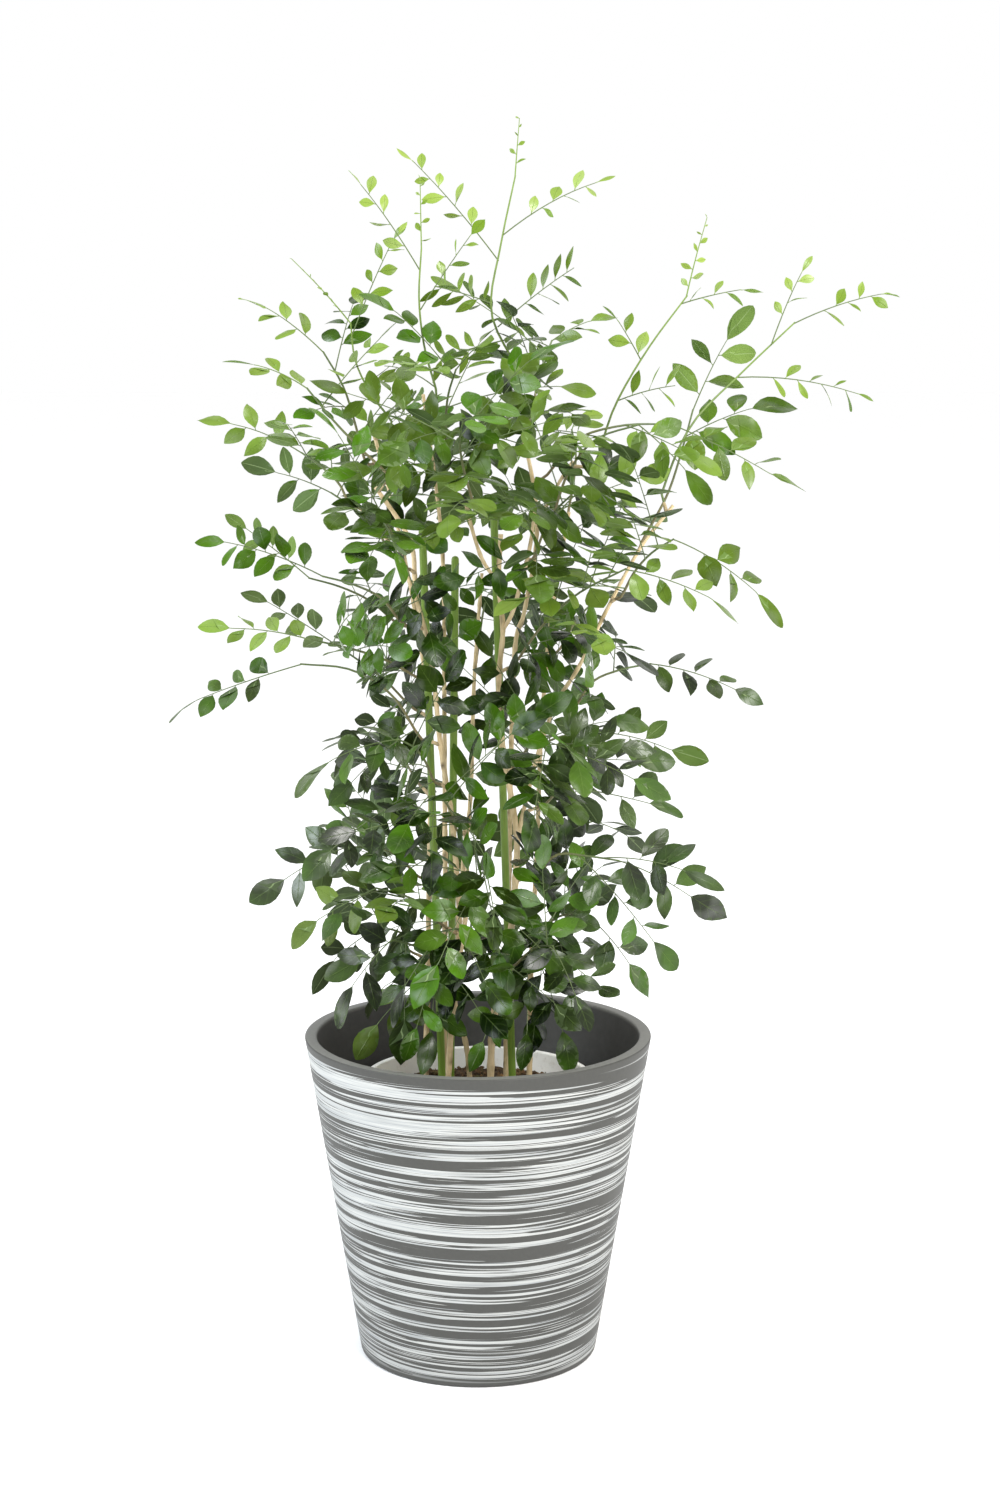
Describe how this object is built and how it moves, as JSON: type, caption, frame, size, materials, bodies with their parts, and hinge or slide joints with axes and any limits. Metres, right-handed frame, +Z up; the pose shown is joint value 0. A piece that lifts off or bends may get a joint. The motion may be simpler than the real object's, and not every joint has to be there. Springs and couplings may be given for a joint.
{
  "type": "potted orange jasmine",
  "caption": "Bushy evergreen shrub with small pinnate glossy leaves on pale canes, staked, in a nursery pot inside a tapered striped planter.",
  "frame": {"origin": "middle of the planter's underside", "axes": "+Z up along the planter's axis and the plant's height, -Y towards the plant's face"},
  "size_m": [0.7152, 0.5058, 1.2404],
  "materials": {
    "planter": "matt dark grey body with brushed pale bands",
    "nursery_plastic": "white injection moulded plastic",
    "soil": "loose dark potting soil",
    "stake": "green plastic coating",
    "bark": "pale tan bark",
    "leaf": "glossy dark green leaf",
    "young_leaf": "bright young leaf"
  },
  "bodies": {
    "root": {"outer_pot": "planter", "nursery_pot": "nursery_plastic", "soil": "soil", "stake_1": "stake", "stake_2": "stake", "stake_3": "stake", "cane_1": "bark", "cane_2": "bark", "cane_3": "bark", "cane_4": "bark", "cane_5": "bark", "cane_6": "bark", "cane_7": "bark", "spray_01": "young_leaf", "spray_02": "young_leaf", "spray_03": "young_leaf", "spray_04": "young_leaf", "spray_05": "young_leaf", "spray_06": "leaf", "spray_07": "leaf", "spray_08": "leaf", "spray_09": "leaf", "spray_10": "leaf", "spray_11": "leaf", "spray_12": "leaf", "spray_13": "leaf", "spray_14": "leaf", "spray_15": "leaf", "spray_16": "leaf", "spray_17": "leaf", "spray_18": "leaf", "spray_19": "leaf", "spray_20": "leaf", "spray_21": "leaf", "spray_22": "leaf", "spray_23": "leaf", "spray_24": "leaf", "spray_25": "leaf", "spray_26": "leaf", "spray_27": "leaf", "spray_28": "leaf", "spray_29": "leaf", "spray_30": "leaf", "spray_31": "leaf", "spray_32": "leaf", "spray_33": "leaf", "spray_34": "leaf", "spray_35": "leaf", "spray_36": "leaf", "spray_37": "leaf", "spray_38": "leaf", "spray_39": "leaf", "spray_40": "leaf", "spray_41": "leaf", "spray_42": "leaf", "spray_43": "leaf", "spray_44": "leaf", "spray_45": "leaf", "spray_46": "leaf"}
  },
  "joints": []
}
